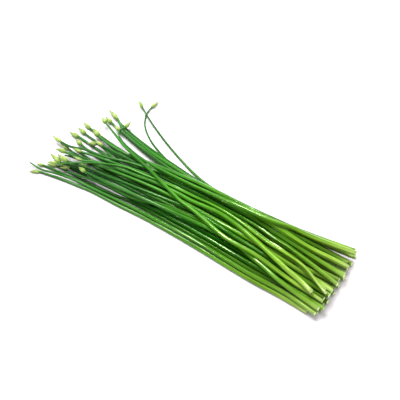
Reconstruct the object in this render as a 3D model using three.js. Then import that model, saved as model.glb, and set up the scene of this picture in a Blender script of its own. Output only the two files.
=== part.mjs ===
// A loose bunch of flowering leek stems, lying on a table with the cut ends together at +X.
// Each stem grew as one piece with the closed, pointed flower bud at its far end, so each is one solid.
// Millimetres, +Z up. The origin is on the table, under the middle of the bunch's bounding box.
import * as THREE from "three";
import { mergeVertices } from "three/addons/utils/BufferGeometryUtils.js";

// The stem: thickest where it was cut, and thin under the bud.
const CUT_RADIUS = 2.4;
const NECK_RADIUS = 1.3;
const TAPER_POWER = 2.1;
const SIDES = 6;

// The closed bud: how far each ring is along it, and how wide it is against the widest place.
const BUD_RADIUS = 2.4;
const BUD_RINGS = [[0.1, 0.68], [0.32, 1], [0.55, 0.8], [0.78, 0.34]];
const BARE_TIP_RADIUS = 0.85;

// Steps along a stem: long where it is straight, short where it turns.
const LONGEST_STEP = 16;
const SHORTEST_STEP = 5;
const TURN_PER_STEP = THREE.MathUtils.degToRad(11);

// How the stems lie on each other and on the table.
const CLEARANCE = 0.2;
const RESTING_SHARE = 0.93;
const FLAT_SPOT = 0.3;
const CONTACT_STEP = 2.5;
const STIFFNESS = 2e6;
const CONTACT_SPRING = 1e5;
const FAINT_SPRING = 1e-4;
const ROLLS = [-2, -1.5, -1, -0.5, 0, 0.5, 1, 1.5, 2];
const ROLL_EFFORT = 0.15;
const SWERVE_EFFORT = 2;
const LAYING_ROUNDS = 3;
const SETTLING_STEPS = 25;

// The stems that come out highest at the cut end are the lightest green.
const DARK_GREEN = new THREE.Color(0x2f7a22);
const LIGHT_GREEN = new THREE.Color(0x8fc63d);
const HIGHEST_CUT = 20;

// Every stem in the order of laying, the lowest first. The route is seen from above, from the cut end to
// the foot of the bud. The tip is the bud's point, girth makes the stem thicker or thinner than most, and
// plump does so for its bud. A neck is the radius under a bud that hangs by a thinner end than the others.
// A bare stem has lost its bud.
const STEMS = [
  // The lowest layer, from the near edge to the far edge.
  { route: [[157, -61], [130, -59], [96, -58.4], [60, -55.8], [30, -53.4], [-30, -50.7], [-67, -51.4],
    [-99, -51.2], [-122, -53.7], [-137, -55.2], [-156, -58.7]], tip: [-167, -64.5], plump: 0.78 },
  { route: [[166, -58], [130, -54], [90, -53.3], [30, -48.7], [-30, -46.7], [-90, -48.2],
    [-114, -47.8], [-136, -48.5], [-150, -49.3], [-158, -50]], tip: [-166, -53], plump: 0.75 },
  { route: [[168, -52.8], [125, -49], [90, -48.3], [30, -43.8], [-30, -41.6], [-60, -41.8],
    [-90, -44.6], [-109, -44.4], [-129, -44], [-146.5, -44]], tip: [-157.5, -48], plump: 0.78 },
  { route: [[166, -47.4], [125, -44], [90, -43.3], [30, -39], [-30, -37.2], [-75, -36.7], [-98, -36],
    [-115, -37.5], [-127, -39], [-139.5, -40]], tip: [-152, -40] },
  { route: [[168, -42.2], [125, -38.9], [90, -38.2], [30, -34.2], [-30, -33.4], [-80, -32.6],
    [-112, -32.2], [-131, -32.5]], tip: [-143, -34] },
  { route: [[165, -37], [90, -33.2], [30, -29.4], [-30, -29], [-90, -28.6], [-119, -29.2]],
    tip: [-131, -30] },
  { route: [[168, -31.8], [90, -28.2], [30, -24.6], [-30, -24.6], [-90, -24.6], [-120, -22.5],
    [-137, -20.6], [-150.5, -18.8]], tip: [-162.5, -16.8], plump: 1.1 },
  { route: [[166, -26.6], [90, -23.2], [30, -19.8], [-30, -20.2], [-90, -20.6], [-120, -18.5],
    [-134, -16.2]], tip: [-146, -14.5], bare: true },
  { route: [[168, -21.4], [90, -18.2], [30, -15], [-30, -15.8], [-86, -16]], tip: [-108, -14.5],
    bare: true },
  { route: [[165, -16.2], [90, -13.2], [30, -10.2], [-30, -11.4], [-90, -11.6], [-122, -10.5],
    [-142.5, -6.7]], tip: [-153.3, -3.7], plump: 1.05 },
  { route: [[168, -11], [90, -8.2], [30, -5.4], [-30, -7], [-90, -6.4], [-152, 1]], tip: [-164, 0],
    plump: 1.1 },
  { route: [[166, -5.8], [90, -3.2], [30, -0.6], [-30, -2.6], [-90, -0.4], [-148.5, 8]],
    tip: [-160.5, 11], plump: 1.1 },
  { route: [[165, 4.5], [130, 4.5], [90, 3], [30, 5], [-10, 5.5], [-45, 6.2], [-90, 8], [-149, 17]],
    tip: [-161, 20.5] },
  { route: [[165, 19.5], [108, 14], [57, 9.5], [0, 9.5], [-30, 16], [-48, 21.5], [-59.5, 25.5],
    [-69, 29.5], [-78.5, 33.5], [-88.5, 39.5], [-98.5, 47], [-106, 55], [-111, 64], [-113.5, 71.5],
    [-113.5, 78]], tip: [-112.3, 90.5], girth: 0.72, plump: 0.8, neck: 0.78 },
  { route: [[161, 26.5], [108, 20], [57, 17.4], [28, 17.2], [-2, 18.8], [-15.5, 22.3], [-29.5, 27],
    [-44.5, 33], [-59.5, 39.5], [-76.5, 47.5], [-91, 55], [-104, 62], [-112, 66.7], [-119.3, 71.2]],
    tip: [-129.3, 78.3], girth: 0.82, plump: 0.85, neck: 0.85 },
  // The second layer, in the grooves of the first.
  { route: [[166, -60.5], [130, -56], [96, -55.4], [30, -50.6], [-30, -48.8], [-88, -49.3],
    [-111, -50.3], [-130, -52.7], [-141, -55.5], [-150, -57.8], [-158, -58.8]], tip: [-171.6, -57.3],
    bare: true, girth: 0.9 },
  { route: [[170, -53.5], [122, -47.6], [90, -45.5], [30, -41.1], [-30, -40], [-79, -40.5], [-105, -40.5],
    [-117, -39.5], [-124.5, -38], [-128.5, -37.7], [-132, -39]], tip: [-138.5, -47.5], plump: 1.05 },
  { route: [[165, -44.5], [90, -41], [30, -36.5], [-30, -35.3], [-80, -35], [-120, -38],
    [-140.6, -43.6]], tip: [-156.8, -40.6], plump: 1.2 },
  { route: [[167, -22], [90, -22.1], [30, -18.2], [-30, -18.9], [-90, -18.6], [-112, -21.3],
    [-124, -24.2], [-136, -26.5]], tip: [-147.2, -29.1], bare: true },
  { route: [[166, -16.5], [90, -17], [30, -13.5], [-30, -14.7], [-70, -13.5], [-90, -14],
    [-105, -16.3], [-120, -19.5], [-134, -22.2]], tip: [-146.5, -24.3], bare: true, girth: 0.9 },
  { route: [[167, -9], [141, -9], [115, -8], [88, -5], [30, -8.7], [-30, -10.3], [-90, -8.8],
    [-106, -5.5], [-118, -1.5], [-127.5, 0.5]], tip: [-137.4, -4] },
  { route: [[166, -0.5], [130, -0.5], [90, -0.5], [30, -2.5], [-30, -4.5], [-90, -1.5]],
    tip: [-104, 0], bare: true },
  { route: [[166, 8], [128, 8.5], [100, 6.5], [50, 4.5], [0, 5], [-24, 8.5], [-42, 12.5], [-58.5, 15],
    [-73, 18.5], [-88, 22], [-104.5, 27], [-120, 31.3], [-135, 36]], tip: [-145.3, 38.8], plump: 1.1 },
  { route: [[158, 22.3], [148, 21.2], [123, 18.2], [97, 16.2], [62, 13.8], [20, 13.2], [-2, 14.8],
    [-18, 17], [-43, 20.5], [-65, 24.5], [-79.5, 27.5], [-95, 31.5], [-111.5, 36.5], [-122, 40]],
    tip: [-134, 44.3], bare: true, girth: 0.93 },
  { route: [[163, 15.5], [148, 14], [123, 11.5], [97, 10], [62, 9.7], [20, 9], [-18, 12], [-44, 15.5],
    [-61, 19], [-76.5, 22.5], [-91.5, 26.5], [-110, 31], [-121.5, 35], [-132, 42.5]],
    tip: [-149.3, 49.4], plump: 0.95 },
  { route: [[163, 4], [130, 4], [100, 2.5], [50, 1], [0, 0.5], [-30, 0], [-64, 2.5], [-90, 4.5],
    [-110, 7], [-130.2, 11.3]], tip: [-142, 15.4] },
  { route: [[166, -29], [130, -25.5], [100, -25], [60, -27], [30, -28], [-13, -31], [-30, -35],
    [-43, -38.5], [-57, -40.5], [-82, -39.5], [-105.5, -41], [-119, -42.7]], tip: [-132, -44.5],
    bare: true },
  // The top layer, with the stems that cross it.
  { route: [[167, -57], [130, -51.5], [100, -44.5], [70, -37.5], [40, -34.5], [9, -35.5], [-39, -39],
    [-80, -41], [-111.4, -40.4]], tip: [-121.8, -38.6], plump: 0.95 },
  { route: [[168, -40], [130, -36], [90, -31.8], [50, -28.5], [4, -26], [-41, -28.5], [-84, -34],
    [-115, -38], [-133.3, -42.3]], tip: [-147.5, -41.7], plump: 1.25 },
  { route: [[169, -24], [126, -14.5], [100, -9.5], [60, -5], [20, -3], [-30, -3], [-80, -1],
    [-119.3, -1.5]], tip: [-130.8, -0.5] },
  { route: [[169, -14], [130, -10], [90, -5.5], [50, -2], [10, 0], [-30, 1], [-60, -2], [-82, -4.5],
    [-101, -9], [-111, -11], [-123.5, -12.3], [-136.2, -13.8], [-147.9, -17.8], [-160.2, -17.7]],
    tip: [-174.4, -15] },
  { route: [[168, -33], [135, -29.5], [100, -26.5], [73, -24.8], [56, -23.5], [13, -21], [-17, -19],
    [-50, -18], [-94, -20], [-125, -24], [-146.4, -26]], tip: [-159.8, -27.3] },
  { route: [[163, -42], [151, -37], [135, -30], [105, -21], [82, -17], [66, -13], [30, -8.5], [-10, -7],
    [-44, -7], [-62, -8], [-101, -13.5], [-118, -15], [-133, -17.2]], tip: [-145.2, -18.4], plump: 0.85 },
  { route: [[154, -48.5], [147, -45.5], [122, -39], [92, -29], [70, -22], [50, -17], [32, -13.5],
    [0, -13.5], [-34, -12], [-67, -15.5], [-99, -20.5], [-111, -24], [-123, -30.5]], tip: [-135, -31.5],
    girth: 1.12, plump: 0.7 },
  { route: [[158, 15.5], [110, 11.5], [60, 10], [20, 9.5], [-18, 10.5], [-42, 13], [-59.5, 16.5],
    [-75, 20.5], [-89.5, 24], [-105.5, 28.6], [-118.3, 31.6]], tip: [-128.5, 33.4] },
  { route: [[168, -4.5], [150, -5.5], [127, -6.5], [102, -4.5], [71, -0.5], [50, 3], [20, 6.5],
    [-22, 8.5], [-53, 7.5], [-78.5, 5], [-95.5, 4.5], [-117, 6.8], [-130, 10]], tip: [-141.2, 15.6],
    girth: 1.1, plump: 1.3 },
  { route: [[167, 14.5], [154, 12], [127, 6.5], [106, 5.5], [83, 1], [58, 0], [28, 0], [-5, 0],
    [-39.5, 0.5], [-65, 2], [-81, 5], [-91, 8], [-103.3, 13.6], [-111.8, 18.5], [-117.4, 24],
    [-119.3, 29.8], [-117.3, 35.3]], tip: [-117.3, 46.3], plump: 0.95, neck: 0.8 },
  { route: [[168, -44.5], [162, -41.5], [151, -35.5], [140, -29.5], [128, -25.5], [116, -23.5],
    [105, -22], [80, -18.5], [50, -12.5], [0, -10], [-44, -9.5], [-80, -14], [-95, -20], [-104, -24.5],
    [-117, -33], [-128, -42.5], [-138, -51.5]], tip: [-149, -55.6], girth: 0.66, plump: 0.8, neck: 0.6 },
  { route: [[166, -47], [137, -45], [113, -42], [82, -38.5], [58, -38], [40, -34], [13, -26],
    [-1, -23.5], [-14, -20], [-28, -14.5], [-41, -10], [-55, -4.5], [-73, 1.5], [-88, 6.5], [-104, 13],
    [-120.2, 21.5], [-135.7, 29.2]], tip: [-144.5, 34.7], plump: 1.1, neck: 1.15 },
];

// Where a stem laid earlier comes out on top of a later one, at every x past the value given.
const CROSSES_OVER = [
  { over: 34, under: 39, beyond: 70 },
  { over: 38, under: 39, beyond: 70 },
];

// The radius of a stem under its bud, or where a bare tip begins.
function neckRadius(stem) {
  return stem.neck ?? NECK_RADIUS * (stem.girth ?? 1);
}

// The radius of a stem at a distance s from its cut end.
function radiusAt(stem, s) {
  if (s <= stem.length) {
    const share = (s / stem.length) ** TAPER_POWER;
    const girth = stem.girth ?? 1;
    return THREE.MathUtils.lerp(girth * CUT_RADIUS, neckRadius(stem), share);
  }
  const along = Math.min((s - stem.length) / stem.budLength, 1);
  const neck = neckRadius(stem);
  if (stem.bare) return THREE.MathUtils.lerp(neck, BARE_TIP_RADIUS, along);
  const widest = BUD_RADIUS * (stem.plump ?? 1);
  const rings = [[0, neck / widest], ...BUD_RINGS, [1, 0]];
  const after = Math.max(1, rings.findIndex(([share]) => share >= along));
  const [from, fromWidth] = rings[after - 1];
  const [to, toWidth] = rings[after];
  return widest * THREE.MathUtils.mapLinear(along, from, to, fromWidth, toWidth);
}

// The places of a stem's rings, seen from above: at every long step, and closer where it turns.
function stations(curve, length) {
  const places = [0];
  while (length - places.at(-1) > SHORTEST_STEP) {
    const here = places.at(-1);
    const heading = curve.getTangentAt(here / length);
    const turn = (step) => heading.angleTo(curve.getTangentAt((here + step) / length));
    let step = Math.min(LONGEST_STEP, length - here);
    while (step > SHORTEST_STEP && turn(step) > TURN_PER_STEP) step -= 1;
    places.push(here + step);
  }
  places[places.length - 1] = length;
  return places;
}

// A stem's line seen from above, as nodes from the cut end to the foot of the bud and the bud's tip.
function planLine(stem) {
  const points = stem.route.map(([x, y]) => new THREE.Vector3(x, y, 0));
  const tip = new THREE.Vector3(...stem.tip, 0);
  const curve = new THREE.CatmullRomCurve3(points, false, "centripetal");
  stem.length = curve.getLength();
  stem.budLength = points.at(-1).distanceTo(tip);
  const places = stations(curve, stem.length);
  stem.nodes = [...places.map((s) => curve.getPointAt(s / stem.length)), tip];
  stem.places = [...places, stem.length + stem.budLength];
  stem.nodes.forEach((node, k) => {
    node.z = RESTING_SHARE * radiusAt(stem, stem.places[k]);
  });
}

// Points at short steps along a stem, each between two of its nodes, where contact is looked for.
function contactPoints(stem) {
  const points = [];
  for (let k = 0; k + 1 < stem.nodes.length; k += 1) {
    const span = stem.places[k + 1] - stem.places[k];
    const count = Math.ceil(span / CONTACT_STEP);
    for (let i = 0; i <= count; i += 1) {
      const share = i / count;
      const place = new THREE.Vector3().lerpVectors(stem.nodes[k], stem.nodes[k + 1], share);
      points.push({ k, share, place, radius: radiusAt(stem, stem.places[k] + share * span) });
    }
  }
  return points;
}

// The height that a point has to keep to clear one stretch of another stem, or nothing if it is beside it.
function heightOver(point, other, k) {
  const start = other.nodes[k];
  const end = other.nodes[k + 1];
  const runX = end.x - start.x;
  const runY = end.y - start.y;
  const awayX = point.place.x - start.x;
  const awayY = point.place.y - start.y;
  const share = THREE.MathUtils.clamp((awayX * runX + awayY * runY) / (runX ** 2 + runY ** 2), 0, 1);
  const aside = Math.hypot(awayX - share * runX, awayY - share * runY);
  const place = THREE.MathUtils.lerp(other.places[k], other.places[k + 1], share);
  const reach = point.radius + radiusAt(other, place) + CLEARANCE;
  if (aside >= reach) return 0;
  return THREE.MathUtils.lerp(start.z, end.z, share) + Math.sqrt(reach ** 2 - aside ** 2);
}

// Whether another stem lies under this one at a place x: it was laid before, but for the crossings above.
function isUnder(other, stem, x) {
  for (const rule of CROSSES_OVER) {
    const pair = STEMS[rule.over - 1] === stem && STEMS[rule.under - 1] === other;
    const reversed = STEMS[rule.over - 1] === other && STEMS[rule.under - 1] === stem;
    if (pair) return x > rule.beyond;
    if (reversed) return x <= rule.beyond;
  }
  return STEMS.indexOf(other) < STEMS.indexOf(stem);
}

// A stem rolls sideways into the grooves near its route: of all the ways along it, it takes the lowest.
function rollAside(stem, laid) {
  const up = new THREE.Vector3(0, 0, 1);
  const below = laid.filter((other) => other !== stem);
  const columns = stem.nodes.map((node, k) => {
    const before = stem.nodes[Math.max(k - 1, 0)];
    const after = stem.nodes[Math.min(k + 1, stem.nodes.length - 1)];
    const side = new THREE.Vector3().subVectors(after, before).setZ(0).cross(up).normalize();
    const inBud = k === stem.nodes.length - 1;
    const radius = inBud ? BUD_RADIUS : radiusAt(stem, stem.places[k]);
    return ROLLS.map((roll) => {
      const place = node.clone().addScaledVector(side, roll);
      let height = RESTING_SHARE * radius;
      for (const other of below) {
        for (let m = 0; m + 1 < other.nodes.length; m += 1) {
          height = Math.max(height, heightOver({ place, radius }, other, m));
        }
      }
      return { place, cost: height + ROLL_EFFORT * roll ** 2, best: 0, from: 0 };
    });
  });
  columns.forEach((column, k) => {
    column.forEach((choice, i) => {
      if (k === 0) {
        choice.best = choice.cost;
        return;
      }
      const swerve = (j) => SWERVE_EFFORT * (ROLLS[i] - ROLLS[j]) ** 2;
      const totals = columns[k - 1].map((earlier, j) => earlier.best + swerve(j));
      choice.from = totals.indexOf(Math.min(...totals));
      choice.best = totals[choice.from] + choice.cost;
    });
  });
  let pick = columns.at(-1).reduce((low, choice, i, all) => (choice.best < all[low].best ? i : low), 0);
  for (let k = columns.length - 1; k >= 0; k -= 1) {
    stem.nodes[k].copy(columns[k][pick].place);
    pick = columns[k][pick].from;
  }
}

// What holds a stem up at each of its contact points: the table, and the stems under it.
function supports(stem, laid) {
  return contactPoints(stem).map((point) => {
    let height = RESTING_SHARE * point.radius;
    for (const other of laid) {
      if (other === stem || !isUnder(other, stem, point.place.x)) continue;
      for (let k = 0; k + 1 < other.nodes.length; k += 1) {
        height = Math.max(height, heightOver(point, other, k));
      }
    }
    return { ...point, height };
  });
}

// Solves matrix * z = load, both of which it changes, for a matrix whose diagonal never vanishes.
function solve(matrix, load) {
  const size = load.length;
  for (let pivot = 0; pivot < size; pivot += 1) {
    for (let row = pivot + 1; row < size; row += 1) {
      const share = matrix[row][pivot] / matrix[pivot][pivot];
      if (share === 0) continue;
      for (let column = pivot; column < size; column += 1) {
        matrix[row][column] -= share * matrix[pivot][column];
      }
      load[row] -= share * load[pivot];
    }
  }
  for (let row = size - 1; row >= 0; row -= 1) {
    for (let column = row + 1; column < size; column += 1) load[row] -= matrix[row][column] * load[column];
    load[row] /= matrix[row][row];
  }
  return load;
}

// A stem sags under its weight as a stiff, springy rod does, and is held up where something is under it.
function settle(stem, held) {
  const { nodes, places } = stem;
  const last = nodes.length - 1;
  const step = (k) => places[k + 1] - places[k];
  for (let round = 0; round < SETTLING_STEPS; round += 1) {
    const matrix = nodes.map(() => new Array(nodes.length).fill(0));
    const load = new Array(nodes.length).fill(0);
    for (let k = 0; k < last; k += 1) {
      const weight = step(k) * (radiusAt(stem, Math.min(places[k], stem.length)) / CUT_RADIUS) ** 2;
      load[k] -= weight / 2;
      load[k + 1] -= weight / 2;
    }
    for (let k = 1; k < last; k += 1) {
      const slimness = (radiusAt(stem, places[k]) / CUT_RADIUS) ** 4;
      const spring = (2 * STIFFNESS * slimness) / (step(k - 1) + step(k));
      const levers = [1 / step(k - 1), -1 / step(k - 1) - 1 / step(k), 1 / step(k)];
      levers.forEach((a, i) => levers.forEach((b, j) => {
        matrix[k - 1 + i][k - 1 + j] += spring * a * b;
      }));
    }
    for (const { k, share, height } of held) {
      const pressed = height > THREE.MathUtils.lerp(nodes[k].z, nodes[k + 1].z, share);
      const spring = pressed ? CONTACT_SPRING : FAINT_SPRING;
      const levers = [1 - share, share];
      levers.forEach((a, i) => {
        levers.forEach((b, j) => {
          matrix[k + i][k + j] += spring * a * b;
        });
        load[k + i] += spring * a * height;
      });
    }
    const heights = solve(matrix, load);
    nodes.forEach((node, k) => {
      node.z = heights[k];
    });
  }
}

// The solid: a six-sided lathe form of stem and bud, bent along the stem's line with a flat side down.
function stemGeometry(stem) {
  const foot = stem.nodes.at(-2);
  const tip = stem.nodes.at(-1);
  const inBud = stem.bare ? [] : BUD_RINGS.map(([share]) => share);
  const budCentres = inBud.map((share) => new THREE.Vector3().lerpVectors(foot, tip, share));
  const budPlaces = inBud.map((share) => stem.length + share * stem.budLength);
  const centres = [...stem.nodes.slice(0, -1), ...budCentres, tip];
  const places = [...stem.places.slice(0, -1), ...budPlaces, stem.places.at(-1)];

  const profile = places.map((s) => new THREE.Vector2(radiusAt(stem, s), s));
  profile.unshift(new THREE.Vector2(0, 0));
  if (stem.bare) profile.push(new THREE.Vector2(0, stem.places.at(-1)));
  const geometry = new THREE.LatheGeometry(profile, SIDES, Math.PI / SIDES);

  const up = new THREE.Vector3(0, 0, 1);
  const last = centres.length - 1;
  const frames = centres.map((centre, k) => {
    const before = centres[Math.max(k - 1, 0)];
    const heading = new THREE.Vector3().subVectors(centres[Math.min(k + 1, last)], before);
    const side = new THREE.Vector3().crossVectors(heading, up).normalize();
    return { centre, side, top: new THREE.Vector3().crossVectors(side, heading).normalize() };
  });

  // The profile starts in the middle of the cut face, so its point k belongs to the ring before it.
  const position = geometry.getAttribute("position");
  for (let i = 0; i < position.count; i += 1) {
    const { centre, side, top } = frames[THREE.MathUtils.clamp((i % profile.length) - 1, 0, last)];
    const vertex = centre.clone().addScaledVector(side, position.getX(i));
    vertex.addScaledVector(top, position.getZ(i));
    if (vertex.z < FLAT_SPOT) vertex.z = 0;
    position.setXYZ(i, vertex.x, vertex.y, vertex.z);
  }
  geometry.deleteAttribute("normal");
  geometry.deleteAttribute("uv");
  return mergeVertices(geometry);
}

STEMS.forEach(planLine);
for (let round = 0; round < LAYING_ROUNDS; round += 1) {
  const laid = round === 0 ? [] : [...STEMS];
  for (const stem of STEMS) {
    if (round === 0) {
      rollAside(stem, laid);
      laid.push(stem);
    }
    settle(stem, supports(stem, laid));
  }
}

const bunch = new THREE.Group();
bunch.name = "flowering_leek_bunch";
STEMS.forEach((stem, i) => {
  const share = THREE.MathUtils.clamp(stem.nodes[0].z / HIGHEST_CUT, 0, 1);
  const colour = DARK_GREEN.clone().lerp(LIGHT_GREEN, share);
  const material = new THREE.MeshStandardMaterial({ color: colour, roughness: 0.35, metalness: 0 });
  const mesh = new THREE.Mesh(stemGeometry(stem), material);
  mesh.name = `stem_${String(i + 1).padStart(2, "0")}`;
  bunch.add(mesh);
});

const box = new THREE.Box3().setFromObject(bunch);
bunch.position.set(-(box.min.x + box.max.x) / 2, -(box.min.y + box.max.y) / 2, 0);

export default bunch;
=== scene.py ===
# %% [markdown]
# # A loose bunch of flowering leek stems
#
# Flowering leek stems, the flower stems of garlic chives, are cut while their buds are still closed
# and are laid together the same way round. Each piece is one long glossy green stem, pale where it
# was cut and dark under its bud, and nearly every one has a pale bud that ends in a papery beak. The
# solids in the frame already say where each stem lies, how it bends over its neighbours and how thick
# it is. What is left to make here is all that the eye takes for a plant: ribs, a waxy skin, moist cut
# faces, the veiled buds, and the light on them.

import math
import random

import bmesh
import bpy
from mathutils import Color, Matrix, Vector
from mathutils.geometry import interpolate_bezier


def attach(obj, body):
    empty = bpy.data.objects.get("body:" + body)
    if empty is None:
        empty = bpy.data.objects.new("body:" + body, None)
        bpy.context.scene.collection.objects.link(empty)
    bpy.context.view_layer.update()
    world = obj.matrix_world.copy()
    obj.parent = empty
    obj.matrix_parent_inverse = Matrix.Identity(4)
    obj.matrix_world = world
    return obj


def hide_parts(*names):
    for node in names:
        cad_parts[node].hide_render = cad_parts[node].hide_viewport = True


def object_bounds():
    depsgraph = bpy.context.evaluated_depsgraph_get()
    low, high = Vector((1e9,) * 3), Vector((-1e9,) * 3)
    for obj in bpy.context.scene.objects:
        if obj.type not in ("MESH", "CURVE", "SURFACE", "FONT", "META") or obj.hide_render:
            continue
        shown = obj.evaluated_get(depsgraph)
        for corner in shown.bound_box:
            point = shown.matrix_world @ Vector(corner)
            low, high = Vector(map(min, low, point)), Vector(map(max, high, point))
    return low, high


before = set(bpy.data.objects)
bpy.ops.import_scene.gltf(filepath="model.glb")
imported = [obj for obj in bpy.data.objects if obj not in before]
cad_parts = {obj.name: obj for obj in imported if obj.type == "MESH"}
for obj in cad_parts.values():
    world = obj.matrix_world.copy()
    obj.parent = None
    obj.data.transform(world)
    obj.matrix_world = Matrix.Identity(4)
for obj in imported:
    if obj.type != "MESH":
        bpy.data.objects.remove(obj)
solids_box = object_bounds()
MM = 0.001
stem_names = sorted(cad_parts)
bunch_size = solids_box[1] - solids_box[0]
print(len(stem_names), "stems in a bunch of", [round(side / MM, 1) for side in bunch_size], "mm")

# %% [markdown]
# ## The camera
#
# The bunch is seen from the side of the cut ends and from well above, through a long lens that keeps
# the stems almost parallel. A short lens close by would show the cut ends too large and the buds too
# small. A camera looks down its own -Z axis, so it is turned until its Z axis points from the bunch
# towards it.

# %% The camera
CAMERA_AZIMUTH = math.radians(33)
CAMERA_ELEVATION = math.radians(50)
CAMERA_DISTANCE = 1.15
CAMERA_LENS = 103.5
CAMERA_AIM = Vector((2.2, -13.3, 0)) * MM

towards_camera = Vector((
    math.sin(CAMERA_AZIMUTH) * math.cos(CAMERA_ELEVATION),
    -math.cos(CAMERA_AZIMUTH) * math.cos(CAMERA_ELEVATION),
    math.sin(CAMERA_ELEVATION),
))
bpy.ops.object.camera_add(
    location=CAMERA_AIM + CAMERA_DISTANCE * towards_camera,
    rotation=towards_camera.to_track_quat("Z", "Y").to_euler(),
)
camera = bpy.context.object
camera.data.lens = CAMERA_LENS
bpy.context.scene.camera = camera
print("the camera stands", round(camera.location.z, 3), "m above the table")

# %% [markdown]
# ## Working by hand, in code
#
# Every modelling step below is one that could be done by hand in the viewport: pick some corners,
# then extrude, inset, scale or turn them. In code the picking is done by a test on each corner's
# place. An operator works on all that is selected, so each step starts by deselecting everything.

# %% Helpers for picking
def take(piece):
    """Deselects everything, then selects one piece and makes it the active one."""
    bpy.ops.object.select_all(action="DESELECT")
    piece.select_set(True)
    bpy.context.view_layer.objects.active = piece


def pick(test, kind="VERT"):
    """In edit mode, selects the corners, edges or faces of the active piece that pass a test."""
    bpy.ops.mesh.select_mode(type=kind)
    bpy.ops.mesh.select_all(action="DESELECT")
    mesh = bmesh.from_edit_mesh(bpy.context.edit_object.data)
    for part in {"VERT": mesh.verts, "EDGE": mesh.edges, "FACE": mesh.faces}[kind]:
        if test(part):
            part.select_set(True)
    mesh.select_flush_mode()
    bmesh.update_edit_mesh(bpy.context.edit_object.data)


print("ready to take pieces and to pick their corners, edges and faces")

# %% [markdown]
# A modifier does in one step what many single moves would do, such as bending a whole stem. It is
# applied at once, so that the next step works on the shape that is really there. What repeats is
# modelled once, and each copy gets a mesh of its own, because every copy is then shaped differently.

# %% Helpers for modifiers and copies
def apply_modifier(piece, kind, **settings):
    """Adds a modifier to a piece and applies it."""
    take(piece)
    modifier = piece.modifiers.new(kind.title(), kind)
    for name, value in settings.items():
        setattr(modifier, name, value)
    bpy.ops.object.modifier_apply(modifier=modifier.name)


def copy_of(piece, name):
    """A copy of a piece with a mesh of its own."""
    copy = piece.copy()
    copy.data = piece.data.copy()
    copy.name = name
    copy.data.name = name
    bpy.context.collection.objects.link(copy)
    return copy


print("ready to apply modifiers and to copy pieces")

# %% [markdown]
# ## Reading where each stem lies
#
# Each solid is a six-sided form with its rings strung along the stem, from the middle of the cut face
# to the point of the bud. The line of the stem could be drawn by hand over the solid, but reading it
# from the rings is exact. Walking from corner to corner, starting in the middle of the cut face,
# meets the rings one after another. The two side corners of a ring are its pair furthest apart seen
# from above, so they give its centre and its radius even where the underside is flattened on the
# table. A stem that has lost its bud ends in a second flat face, whose middle is left out.

# %% The rings of the solids
WELD = 0.01 * MM
FACING_ALIKE = 0.9999


def in_flat_face(corner):
    """Whether all the faces round a corner lie in one plane, as in the middle of a cut face."""
    first = corner.link_faces[0].normal
    return all(face.normal.dot(first) > FACING_ALIKE for face in corner.link_faces)


def ring_size(corners):
    """The centre of a ring and its radius."""
    places = [corner.co for corner in corners]
    if len(places) == 1:
        return places[0].copy(), 0.0
    pairs = [(a, b) for a in places for b in places]
    a, b = max(pairs, key=lambda pair: (pair[1] - pair[0]).xy.length)
    return (a + b) / 2, (b - a).length / 2


def rings_of(name):
    """The rings of a stem's solid from the cut end to the tip, and whether the tip is bare."""
    solid = bmesh.new()
    solid.from_mesh(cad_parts[name].data)
    bmesh.ops.remove_doubles(solid, verts=solid.verts, dist=WELD)
    solid.normal_update()
    solid.verts.index_update()
    middles = [corner for corner in solid.verts if in_flat_face(corner)]
    start = max(middles, key=lambda corner: corner.co.x)
    bare = len(middles) == 2
    walked = {start}
    ring = walked
    rings = []
    while ring:
        ring = {edge.other_vert(corner) for corner in ring for edge in corner.link_edges} - walked
        walked = walked | ring
        if ring:
            rings.append(ring_size(sorted(ring, key=lambda corner: corner.index)))
    solid.free()
    return (rings[:-1] if bare else rings), bare


solids = {name: rings_of(name) for name in stem_names}
print("rings per stem:", sorted(len(rings) for rings, bare in solids.values()))
print("bare tips:", [name for name, (rings, bare) in solids.items() if bare])

# %% [markdown]
# ## One smooth line per stem
#
# A real stem never bends in straight steps, so a smooth line is led through the ring centres: between
# two rings it is a Bezier curve whose handles follow the rings on either side. The same line goes on
# through the bud, so that a nodding bud turns on a bent neck and not on a kink.

# %% Smooth lines
LINE_STEP = 1.5 * MM


def heading(places, k):
    """The direction of a line at its point k."""
    before = places[max(k - 1, 0)]
    after = places[min(k + 1, len(places) - 1)]
    return (after - before).normalized()


def smooth_line(rings):
    """Close points on a smooth line through the rings: place, distance along the line, radius."""
    places = [centre for centre, radius in rings]
    line = [(places[0], 0.0, rings[0][1])]
    for k in range(len(rings) - 1):
        start, end = places[k], places[k + 1]
        span = (end - start).length
        count = math.ceil(span / LINE_STEP) + 1
        leave = start + heading(places, k) * span / 3
        arrive = end - heading(places, k + 1) * span / 3
        points = interpolate_bezier(start, leave, arrive, end, count)
        for i in range(1, count):
            share = i / (count - 1)
            radius = rings[k][1] * (1 - share) + rings[k + 1][1] * share
            line.append((points[i], line[-1][1] + (points[i] - points[i - 1]).length, radius))
    return line


lines = {name: smooth_line(rings) for name, (rings, bare) in solids.items()}
lengths = sorted(line[-1][1] for line in lines.values())
print("the stems are", round(lengths[0] / MM), "to", round(lengths[-1] / MM), "mm long")

# %% [markdown]
# ## Curves that bend pieces
#
# A stem modelled straight is easy to shape, and its pattern is easy to place. The Curve modifier then
# bends it along a curve object, as a wire bends a drinking straw. Each point of the curve also
# carries a radius, which scales the girth of the piece there, and a tilt, which twists it.

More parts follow.
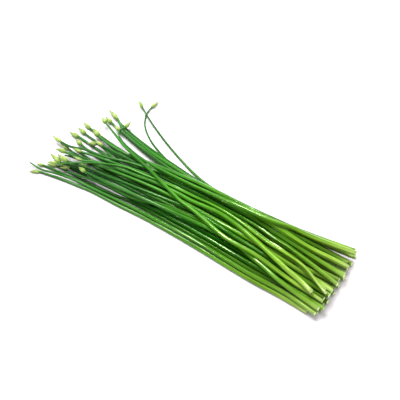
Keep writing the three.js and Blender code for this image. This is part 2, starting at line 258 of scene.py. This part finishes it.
# %% Guides for the Curve modifier
def guide_along(name, line, turn):
    """A curve object along a line. A piece that it bends is turned about the line by a turn in all."""
    curve = bpy.data.curves.new(name, "CURVE")
    curve.dimensions = "3D"
    curve.twist_mode = "Z_UP"
    spline = curve.splines.new("POLY")
    spline.points.add(len(line) - 1)
    for point, (place, along, radius) in zip(spline.points, line):
        point.co = (*place, 1)
        point.tilt = turn * along / line[-1][1]
    guide = bpy.data.objects.new(name, curve)
    bpy.context.collection.objects.link(guide)
    return guide


def bend(piece, guide, girths):
    """Bends a straight piece that lies along +X round a guide, and scales its girth on the way."""
    for point, girth in zip(guide.data.splines[0].points, girths):
        point.radius = girth
    apply_modifier(piece, "CURVE", object=guide, deform_axis="POS_X")


print("ready to bend pieces along", len(lines), "lines")

# %% [markdown]
# ## Colours and nodes
#
# A material is a small network of nodes that ends in the Principled shader. It could be wired by hand
# in the shader editor. Short helpers keep the wiring readable here. Colours are written as they look
# on a screen and turned to the linear values that Blender computes with.

# %% Materials, colours and nodes
def paint(code):
    """A linear colour with alpha from a hexadecimal screen colour."""
    red, green, blue = (int(code[k:k + 2], 16) / 255 for k in (0, 2, 4))
    return (*Color((red, green, blue)).from_srgb_to_scene_linear(), 1)


def new_material(name):
    """A material with its node tree and its Principled shader."""
    material = bpy.data.materials.new(name)
    material.use_nodes = True
    return material, material.node_tree, material.node_tree.nodes["Principled BSDF"]


def add_node(tree, kind, inputs=(), **settings):
    """Adds a node, sets it up, and feeds its sockets from values or from other nodes' outputs."""
    node = tree.nodes.new(kind)
    for name, value in settings.items():
        setattr(node, name, value)
    for socket, value in dict(inputs).items():
        if isinstance(value, bpy.types.NodeSocket):
            tree.links.new(value, node.inputs[socket])
        else:
            node.inputs[socket].default_value = value
    return node


def math_of(tree, operation, a, b=0.0):
    """The result of one sum on two values."""
    return add_node(tree, "ShaderNodeMath", {0: a, 1: b}, operation=operation).outputs[0]


print("white is", [round(part, 2) for part in paint("ffffff")])

# %% [markdown]
# Most of a plant's pattern is noise that has been stretched: drawn out along the stem it makes
# stripes, and left round it makes clouds. A ramp then says which colour each value of the noise gets,
# and a mix lays one pattern over another.

# %% Nodes that make patterns
def ramp(tree, factor, stops):
    """A colour ramp through stops of a position and a screen colour."""
    node = add_node(tree, "ShaderNodeValToRGB", {0: factor})
    elements = node.color_ramp.elements
    while len(elements) < len(stops):
        elements.new(0.5)
    for element, (position, code) in zip(elements, stops):
        element.position = position
        element.color = paint(code)
    return node.outputs[0]


def mix(tree, factor, a, b, blend="MIX"):
    """Two colours mixed."""
    inputs = {0: factor, 6: a, 7: b}
    return add_node(tree, "ShaderNodeMix", inputs, data_type="RGBA", blend_type=blend).outputs[2]


def stretched(tree, vector, factors):
    """Coordinates scaled differently along each axis."""
    return add_node(tree, "ShaderNodeVectorMath", {0: vector, 1: factors}, operation="MULTIPLY").outputs[0]


def noise(tree, vector, grain, detail=2.0):
    """A soft noise from 0 to 1, whose grain says how often it changes along each axis, per metre."""
    inputs = {"Vector": stretched(tree, vector, grain), "Scale": 1.0, "Detail": detail}
    return add_node(tree, "ShaderNodeTexNoise", inputs).outputs[0]


def relief(tree, shader, height):
    """Lets a pattern raise the surface by a tenth of a millimetre at most."""
    bump = add_node(tree, "ShaderNodeBump", {"Height": height, "Strength": 0.3, "Distance": 0.1 * MM})
    tree.links.new(bump.outputs[0], shader.inputs["Normal"])


print("ready to make stripes, clouds and dots")

# %% [markdown]
# ## Patterns that follow the stem
#
# A pattern that is read from places in the room would cut straight across a bent stem. So every
# corner of a straight piece remembers its place as an attribute before the piece is bent, and the
# materials read that. A second attribute is the tone of the piece, how light it is. It also shifts
# the pattern along, so that no two pieces have the same stripes.

# %% Places on the straight piece
TONE_SHIFT = 7.3


def places_on(tree, length):
    """What a material reads of a piece: its straight place, the share along it, its tone, its own place."""
    straight = add_node(tree, "ShaderNodeAttribute", attribute_name="straight").outputs["Vector"]
    tone = add_node(tree, "ShaderNodeAttribute", attribute_name="tone").outputs["Fac"]
    distance = add_node(tree, "ShaderNodeSeparateXYZ", {0: straight}).outputs[0]
    along = math_of(tree, "DIVIDE", distance, length)
    aside = math_of(tree, "MULTIPLY", tone, TONE_SHIFT)
    shift = add_node(tree, "ShaderNodeCombineXYZ", {0: aside}).outputs[0]
    own = add_node(tree, "ShaderNodeVectorMath", {0: straight, 1: shift}, operation="ADD").outputs[0]
    return {"straight": straight, "along": along, "tone": tone, "own": own}


def keep_straight_places(piece):
    """Keeps every corner's place on the straight piece."""
    places = [value for corner in piece.data.vertices for value in corner.co]
    piece.data.attributes.new("straight", "FLOAT_VECTOR", "POINT").data.foreach_set("vector", places)


def keep_tone(piece, tone):
    """Keeps how light a piece is."""
    tones = [tone] * len(piece.data.vertices)
    piece.data.attributes.new("tone", "FLOAT", "POINT").data.foreach_set("value", tones)


print("each piece will keep its straight places and its tone")

# %% [markdown]
# ## The skin of the stems
#
# The stem is pale lime where it was cut, since that end grew in the shade of the leaves, then bright
# green, and deep green under the bud. Broad and fine stripes run along it, and a thin wax makes it
# gleam, most of all at the thick end. One flat green would look like plastic, so a ramp along the
# stem gives the change of colour, and three noises darken it in stripes and clouds. A slightly green
# specular tint and a weak coat give the waxy gleam.

# %% The skin material
STEM_LENGTH = 340 * MM
STEM_RADIUS = 2.4 * MM
LIGHT_SKIN = (
    (0, "b2c777"), (0.04, "a1c052"), (0.15, "86b132"), (0.4, "5b9e1f"), (0.7, "48912b"), (1, "40853a"),
)
DARK_SKIN = (
    (0, "779d36"), (0.04, "538514"), (0.15, "2f7008"), (0.4, "1b6108"), (0.7, "1a5c16"), (1, "255c28"),
)
BROAD_STRIPES = (14, 520, 520)
FINE_STRIPES = (30, 1900, 1900)
CLOUDS = (60, 120, 120)

skin, tree, shader = new_material("green_skin")
on_stem = places_on(tree, STEM_LENGTH)
broad = ramp(tree, noise(tree, on_stem["own"], BROAD_STRIPES, 1.0), ((0.35, "8f9f80"), (0.6, "ffffff")))
fine_stripes = noise(tree, on_stem["own"], FINE_STRIPES)
fine = ramp(tree, fine_stripes, ((0.3, "909090"), (0.65, "ffffff")))
clouds = ramp(tree, noise(tree, on_stem["own"], CLOUDS), ((0.3, "a5b58a"), (0.7, "ffffff")))
dark = ramp(tree, on_stem["along"], DARK_SKIN)
light = ramp(tree, on_stem["along"], LIGHT_SKIN)
# The tone mixes the dark and the light skin: the listed dark tones paint shade on the low stems, and the
# listed pale tones partly paint light on the stems on top.
colour = mix(tree, on_stem["tone"], dark, light)
for strength, pattern in ((0.6, broad), (0.4, fine), (0.35, clouds)):
    colour = mix(tree, strength, colour, pattern, "MULTIPLY")
gleam = {"Value": on_stem["along"], "From Min": 0.4, "To Min": 0.16, "To Max": 0.5}
tree.links.new(colour, shader.inputs["Base Color"])
tree.links.new(add_node(tree, "ShaderNodeMapRange", gleam).outputs[0], shader.inputs["Roughness"])
relief(tree, shader, fine_stripes)
shader.inputs["Specular IOR Level"].default_value = 0.3
shader.inputs["Specular Tint"].default_value = paint("e4ffb8")
shader.inputs["Coat Weight"].default_value = 0.15
shader.inputs["Coat Roughness"].default_value = 0.2
print("the skin is a material of", len(tree.nodes), "nodes")

# %% [markdown]
# ## The cut face
#
# A fresh cut is moist and almost white in the middle, where the pith is, with a darker green ring
# just under the skin and a circle of small dots where the sap ran. The rings are a ramp over the
# distance from the axis of the straight stem, and the dots are a cell pattern laid over them. That
# keeps the rings centred on every stem, wherever it lies.

# %% The cut material
FLESH = ((0, "e9f0c8"), (0.45, "dce9ac"), (0.72, "b9d67c"), (0.86, "8fbd4e"), (1, "a9cf66"))
SAP_DOTS = 1700.0

flesh, tree, shader = new_material("cut_flesh")
on_cut = places_on(tree, STEM_LENGTH)
across = stretched(tree, on_cut["straight"], (0, 1, 1))
from_axis = add_node(tree, "ShaderNodeVectorMath", {0: across}, operation="LENGTH").outputs["Value"]
flesh_rings = ramp(tree, math_of(tree, "DIVIDE", from_axis, STEM_RADIUS), FLESH)
cells = add_node(tree, "ShaderNodeTexVoronoi", {"Vector": on_cut["own"], "Scale": SAP_DOTS})
dots = ramp(tree, cells.outputs["Distance"], ((0.1, "8fb060"), (0.4, "ffffff")))
tree.links.new(mix(tree, 0.5, flesh_rings, dots, "MULTIPLY"), shader.inputs["Base Color"])
relief(tree, shader, cells.outputs["Distance"])
shader.inputs["Roughness"].default_value = 0.3
print("the cut face is a material of", len(tree.nodes), "nodes")

# %% [markdown]
# ## The veil of the buds
#
# The veil is thin and pale, so the florets show through it as greener patches. It is green at its
# collar, yellowish on its belly, and pale and dry at the beak, with fine veins along it. Two ramps
# along the bud are mixed by a coarse noise, which gives the patches, and a stretched noise gives the
# veins. A little light passes into the veil and out again, which subsurface scattering gives.

# %% The veil material
BUD_LENGTH = 13 * MM
BUD_RADIUS = 2.4 * MM
VEIL = (
    (0, "4f722a"), (0.06, "729540"), (0.16, "8ea454"), (0.35, "9fae6a"), (0.6, "96a667"), (0.8, "818e5c"),
    (1, "778164"),
)
FLORETS = (
    (0, "4f722a"), (0.06, "698935"), (0.2, "789742"), (0.5, "739340"), (0.7, "7c934d"), (1, "75815c"),
)
FLORET_PATCHES = (260, 420, 420)
VEINS = (90, 1500, 1500)

veil, tree, shader = new_material("pale_veil")
on_bud = places_on(tree, BUD_LENGTH)
patches = {"Value": noise(tree, on_bud["own"], FLORET_PATCHES, 1.0), "From Min": 0.42, "From Max": 0.62}
shows = add_node(tree, "ShaderNodeMapRange", patches).outputs[0]
veins = noise(tree, on_bud["own"], VEINS)
veined = ramp(tree, veins, ((0.35, "b3bf8c"), (0.65, "ffffff")))
colour = mix(tree, shows, ramp(tree, on_bud["along"], VEIL), ramp(tree, on_bud["along"], FLORETS))
tree.links.new(mix(tree, 0.5, colour, veined, "MULTIPLY"), shader.inputs["Base Color"])
relief(tree, shader, veins)
shader.inputs["Roughness"].default_value = 0.5
shader.inputs["Specular IOR Level"].default_value = 0.35
shader.inputs["Subsurface Weight"].default_value = 0.25
shader.inputs["Subsurface Radius"].default_value = (0.6, 1.0, 0.2)
shader.inputs["Subsurface Scale"].default_value = 1 * MM
print("the veil is a material of", len(tree.nodes), "nodes")

# %% [markdown]
# ## A straight stem to copy
#
# The stem of a flowering leek isn't round. It has a few soft ribs with flat sides between them, and
# the flat sides are what throws the long thin glints. A many-sided prism with its long edges bevelled
# gives just that section. Its long edges are then cut into short steps, so that it can bend. The end
# faces get the rim of the rind, a shallow dip and the pith by insets. Three stems with different
# numbers of ribs keep the bunch from looking copied.

# %% Model a straight stem
RIB_COUNTS = (5, 6, 7)
RIB_ROUNDING = 0.5 * MM
STEPS_ALONG = 170
RIM_ROUNDING = 0.14 * MM
RIND = 0.3 * MM
HOLLOW = 0.12 * MM
PITH_INSET = 0.75 * MM
NEARLY = 0.001 * MM
SIDEWAYS = 0.5


def runs_along(edge):
    """Whether an edge runs the length of the stem."""
    return abs(edge.verts[0].co.x - edge.verts[1].co.x) > NEARLY


def at_an_end(edge):
    """Whether an edge lies in one of the two end faces."""
    places = [corner.co.x for corner in edge.verts]
    at_ends = all(abs(place) < NEARLY or abs(place - STEM_LENGTH) < NEARLY for place in places)
    return at_ends and not runs_along(edge)


def model_straight_stem(sides):
    """A straight ribbed stem along +X with its cut face at the origin."""
    bpy.ops.object.select_all(action="DESELECT")
    bpy.ops.mesh.primitive_cylinder_add(
        vertices=sides, radius=STEM_RADIUS, depth=STEM_LENGTH, location=(STEM_LENGTH / 2, 0, 0),
        rotation=(0, math.pi / 2, 0),
    )
    stem = bpy.context.object
    stem.name = f"straight_stem_{sides}"
    bpy.ops.object.transform_apply(location=True, rotation=True, scale=True)
    bpy.ops.object.mode_set(mode="EDIT")
    pick(runs_along, "EDGE")
    bpy.ops.mesh.bevel(offset=RIB_ROUNDING, segments=3)
    pick(runs_along, "EDGE")
    bpy.ops.mesh.subdivide(number_cuts=STEPS_ALONG)
    pick(at_an_end, "EDGE")
    bpy.ops.mesh.bevel(offset=RIM_ROUNDING, segments=2)
    pick(lambda face: abs(face.normal.x) > FACING_ALIKE, "FACE")
    bpy.ops.mesh.inset(thickness=RIND)
    bpy.ops.mesh.inset(thickness=RIND / 2, depth=-HOLLOW)
    bpy.ops.mesh.inset(thickness=PITH_INSET, depth=HOLLOW / 2)
    bpy.ops.mesh.poke()
    bpy.ops.object.mode_set(mode="OBJECT")
    stem.data.materials.append(skin)
    stem.data.materials.append(flesh)
    for face in stem.data.polygons:
        face.material_index = int(abs(face.normal.x) > SIDEWAYS)
    keep_straight_places(stem)
    print(stem.name, "has", len(stem.data.polygons), "faces")
    return stem


straight_stems = [model_straight_stem(sides) for sides in RIB_COUNTS]

# %% [markdown]
# ## A closed bud to copy
#
# A papery veil, the spathe, wraps the flower buds and closes in a long beak. It starts at a small
# collar on the stem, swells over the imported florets, and one lengthwise seam shows where its edges
# meet. The bud is drawn like a turned form: a disc is extruded ring by ring and each ring is scaled
# to the width of the veil there. A lathe tool could spin the same outline, but its beak would stand
# straight, and the beak of each of the three buds leans its own way.

# %% Model a straight bud
BUD_SIDES = 20
BUD_FOOT = 0.44
# Along the bud and across it, as shares of its length and of its widest radius.
BUD_RINGS = (
    (0.02, 0.52), (0.05, 0.56), (0.08, 0.65), (0.13, 0.77), (0.2, 0.9), (0.28, 0.98), (0.36, 1),
    (0.45, 0.95), (0.54, 0.84), (0.63, 0.69), (0.72, 0.53), (0.81, 0.38), (0.9, 0.25), (0.97, 0.14),
    (1, 0.05),
)
BEAK_STARTS = 0.5
BEAK_LEANS = (3 * MM, -2 * MM, 5 * MM)
SEAM_STARTS, SEAM_ENDS = 0.08, 0.8
SEAM_WIDTH = 0.1
SEAM_DEPTH = 0.9


def in_seam(corner):
    """Whether a corner lies on the seam, which runs along the +Y side of the bud."""
    share = corner.co.x / BUD_LENGTH
    return abs(math.atan2(corner.co.z, corner.co.y)) < SEAM_WIDTH and SEAM_STARTS < share < SEAM_ENDS


def model_straight_bud(number, lean):
    """A straight bud along +X with its foot at the origin and its beak leaning sideways."""
    bpy.ops.object.select_all(action="DESELECT")
    bpy.ops.mesh.primitive_circle_add(
        vertices=BUD_SIDES, radius=BUD_RADIUS * BUD_FOOT, fill_type="NGON", rotation=(0, math.pi / 2, 0),
    )
    bud = bpy.context.object
    bud.name = f"straight_bud_{number}"
    bpy.ops.object.transform_apply(location=True, rotation=True, scale=True)
    bpy.ops.object.mode_set(mode="EDIT")
    bpy.ops.mesh.select_all(action="SELECT")
    before, width, aside = 0, BUD_FOOT, 0
    for along, share in BUD_RINGS:
        leaning = lean * max(0, along - BEAK_STARTS) ** 2
        step = ((along - before) * BUD_LENGTH, leaning - aside, 0)
        bpy.ops.mesh.extrude_region_move(TRANSFORM_OT_translate={"value": step})
        centre = (along * BUD_LENGTH, leaning, 0)
        bpy.ops.transform.resize(value=(1, share / width, share / width), center_override=centre)
        before, width, aside = along, share, leaning
    bpy.ops.mesh.merge(type="CENTER")
    pick(in_seam)
    bpy.ops.transform.resize(value=(1, SEAM_DEPTH, SEAM_DEPTH), center_override=(0, 0, 0))
    bpy.ops.mesh.select_all(action="SELECT")
    bpy.ops.mesh.normals_make_consistent(inside=False)
    bpy.ops.object.mode_set(mode="OBJECT")
    bud.data.materials.append(veil)
    keep_straight_places(bud)
    apply_modifier(bud, "SUBSURF", levels=1, render_levels=1)
    print(bud.name, "has", len(bud.data.polygons), "faces")
    return bud


straight_buds = [model_straight_bud(number, lean) for number, lean in enumerate(BEAK_LEANS, 1)]

# %% [markdown]
# ## What every piece gets
#
# Where a piece presses on the table it is flat. It shows smooth shading across its soft ribs and a crease
# at the rim of the cut. Each piece is then attached to the body it moves with, and the solid it stands for
# is hidden.

# %% Finish a piece
CREASE = math.radians(40)


def finish_piece(piece, name, tone):
    """Flattens a piece on the table, smooths it, attaches it to the root body and hides the solid it stands
    for.
    """
    for corner in piece.data.vertices:
        corner.co.z = max(corner.co.z, 0)
    keep_tone(piece, tone)
    take(piece)
    bpy.ops.object.shade_smooth_by_angle(angle=CREASE)
    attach(piece, "root")
    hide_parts(name)


print("edges sharper than", round(math.degrees(CREASE)), "degrees stay creased")

# %% [markdown]
# ## Lay a stem
#
# Each stem is a copy of a straight one. Its cut is tilted a little, since stems cut by the handful
# are never cut square. It is turned about its length, stretched to the length of its line and bent
# along the line with the girth of its solid. Slow growth leaves a stem slightly uneven, which a
# cloudy displacement gives. The stem ends just inside its bud, so that no gap can open at the neck.

# %% Copy and bend a stem
DRAW = random.Random(11)
CUT_TILT = math.radians(16)
CUT_ZONE = 0.6 * MM
HELD_IN_BUD = 0.7 * MM
UNEVENNESS = 0.22 * MM

growth = bpy.data.textures.new("slow_growth", "CLOUDS")
growth.noise_scale = 9 * MM


def lay_stem(name, guide, line, foot, tone):
    """The green stem, from its cut face to just inside the bud."""
    number = name.split("_")[1]
    reach = min(line[foot][1] + HELD_IN_BUD, line[-1][1])
    stem = copy_of(straight_stems[int(number) % len(straight_stems)], f"green_stem_{number}")
    stem.data.transform(Matrix.Rotation(DRAW.uniform(0, math.tau), 4, "X"))
    take(stem)
    bpy.ops.object.mode_set(mode="EDIT")
    pick(lambda corner: corner.co.x < CUT_ZONE)
    tilt = DRAW.uniform(-CUT_TILT, CUT_TILT)
    bpy.ops.transform.rotate(value=tilt, orient_axis="Y", center_override=(0, 0, 0))
    bpy.ops.object.mode_set(mode="OBJECT")
    stem.data.transform(Matrix.Diagonal((reach / STEM_LENGTH, 1, 1, 1)))
    radii = [radius for place, along, radius in line]
    radii[foot + 1:] = [min(radius, radii[foot]) for radius in radii[foot + 1:]]
    bend(stem, guide, [radius / STEM_RADIUS for radius in radii])
    apply_modifier(stem, "DISPLACE", texture=growth, strength=UNEVENNESS, mid_level=0.5)
    finish_piece(stem, name, tone)
    return stem


print("cuts are tilted by up to", round(math.degrees(CUT_TILT)), "degrees")

# %% [markdown]
# ## Put the bud on
#
# The bud is a copy too, as long as the rest of the line beyond the neck and as wide as the widest
# ring of its solid. It is slid along to the neck before it is bent, so the Curve modifier lays it on
# the same line that the stem follows. It is turned about its length by chance, which shows its seam
# and the lean of its beak from a different side on each stem.

# %% Copy and bend a bud
def put_bud_on(name, guide, line, foot, tone):
    """The veiled bud, from the neck of its stem to the tip of its beak."""
    number = name.split("_")[1]
    length = line[-1][1] - line[foot][1]
    plump = max(radius for place, along, radius in line[foot:]) / BUD_RADIUS
    bud = copy_of(straight_buds[int(number) % len(straight_buds)], f"bud_{number}")
    bud.data.transform(Matrix.Rotation(DRAW.uniform(0, math.tau), 4, "X"))
    bud.data.transform(Matrix.Diagonal((length / BUD_LENGTH, 1, 1, 1)))
    bud.data.transform(Matrix.Translation((line[foot][1], 0, 0)))
    bend(bud, guide, [plump] * len(line))
    finish_piece(bud, name, tone)
    return bud


print("there are", len(straight_buds), "buds to choose from")

# %% [markdown]
# ## Lay the whole bunch
#
# Stems of one bunch differ: an old one is darker, a young one or one from the shade of the leaves is paler.
# The stems on top, which can be told apart, get the tone that they are seen to have, and the others get one
# by chance. The listed tones are partly painted light and shade. Stems lying low in the bunch get the
# darkest tones as painted shade. The pale tones of the stems on top are partly their own paleness and
# partly painted light. All the chances come from one seeded draw, so the bunch is the same every time. The
# straight pieces have done their work by then and are removed.

# %% Lay the stems and their buds
RINGS_IN_BUD = 5
MOST_TURN = math.radians(200)
MIDDLE_TONE = 0.5
TONE_SPREAD = 0.22
# Stems that are lighter or darker than the others, from 0, dark, to 1, pale. The tones of 0 and 0.1 are
# painted shade for stems that lie low in the bunch. The high tones of the stems on top are partly their own
# paleness and partly painted light.
TONES_WITH_PAINTED_SHADING = {
    "stem_38": 1.0, "stem_39": 0.75, "stem_34": 0.8, "stem_37": 0.7, "stem_33": 0.6, "stem_36": 0.75,
    "stem_28": 0.35, "stem_21": 0.7, "stem_01": 0.65, "stem_14": 0.4, "stem_15": 0.3, "stem_16": 0.4,
    "stem_31": 0.25, "stem_26": 0.2, "stem_24": 0.3, "stem_18": 0.0, "stem_04": 0.0, "stem_05": 0.0,
    "stem_29": 0.1, "stem_06": 0.1, "stem_17": 0.1,
}

green_stems = []
buds = []
for name, (rings, bare) in solids.items():
    line = lines[name]
    neck = rings[-1 if bare else -1 - RINGS_IN_BUD][0]
    foot = min(range(len(line)), key=lambda k: (line[k][0] - neck).length)
    # A listed tone is partly painted light and shade; a drawn one is the stem's own tone.
    tone = TONES_WITH_PAINTED_SHADING.get(name, MIDDLE_TONE + DRAW.uniform(-TONE_SPREAD, TONE_SPREAD))
    guide = guide_along(f"line_of_{name}", line, DRAW.uniform(-MOST_TURN, MOST_TURN))
    green_stems.append(lay_stem(name, guide, line, foot, tone))
    if not bare:
        buds.append(put_bud_on(name, guide, line, foot, tone))
    bpy.data.objects.remove(guide)
for straight_piece in straight_stems + straight_buds:
    bpy.data.objects.remove(straight_piece)
print(len(green_stems), "stems and", len(buds), "buds are laid")

# %% [markdown]
# ## The table
#
# The bunch lies on a plain, matt white table. A single plane is enough, because only the soft shadow of the
# bunch is seen on it.

# %% The white table
TABLE_SIZE = 6.0

bpy.ops.object.select_all(action="DESELECT")
bpy.ops.mesh.primitive_plane_add(size=TABLE_SIZE)
table = bpy.context.object
table.name = "white_table"
table_paint, tree, shader = new_material("white_paint")
shader.inputs["Base Color"].default_value = paint("cdc8cc")
shader.inputs["Roughness"].default_value = 0.9
table.data.materials.append(table_paint)
print("the table is", TABLE_SIZE, "m wide")

# %% [markdown]
# ## The light
#
# A bright room fills the shadows. A big soft window behind the bunch on the left lights the stems
# from above, so their shadow falls to the right and to the front. Mirrored in the wax, the room and
# the window would lay a grey veil over the green, so the gloss shows little of the room and nothing
# of the window. A small lamp close to the window is seen in the gloss alone, and draws the thin
# bright glints along the ribs.

# %% The sky
SKY_LIGHT = 1.05
SKY_IN_GLOSS = 0.15

sky = bpy.data.worlds.new("soft_sky")
sky.use_nodes = True
tree = sky.node_tree
mirrored = add_node(tree, "ShaderNodeLightPath").outputs["Is Glossy Ray"]
brightness = {"Value": mirrored, "To Min": SKY_LIGHT, "To Max": SKY_IN_GLOSS}
background = tree.nodes["Background"]
background.inputs["Color"].default_value = paint("ffffff")
tree.links.new(add_node(tree, "ShaderNodeMapRange", brightness).outputs[0], background.inputs["Strength"])
bpy.context.scene.world = sky
print("the sky has a strength of", SKY_LIGHT)

# %% The window and the lamp for the glints
def add_lamp(name, place, size, power):
    """A square lamp that points at the bunch."""
    turn = Vector(place).to_track_quat("Z", "Y").to_euler()
    bpy.ops.object.light_add(type="AREA", location=place, rotation=turn)
    lamp = bpy.context.object
    lamp.name = name
    lamp.data.size = size
    lamp.data.energy = power
    print(name, "stands", round(Vector(place).length, 2), "m from the bunch")
    return lamp


window = add_lamp("window", place=(-1.24, 0.6, 2.4), size=1.8, power=175.0)
window.visible_glossy = False
glint = add_lamp("glint", place=(-1.02, 0.5, 2.5), size=0.3, power=45.0)
glint.visible_diffuse = False
bpy.context.scene.view_settings.view_transform = "Standard"
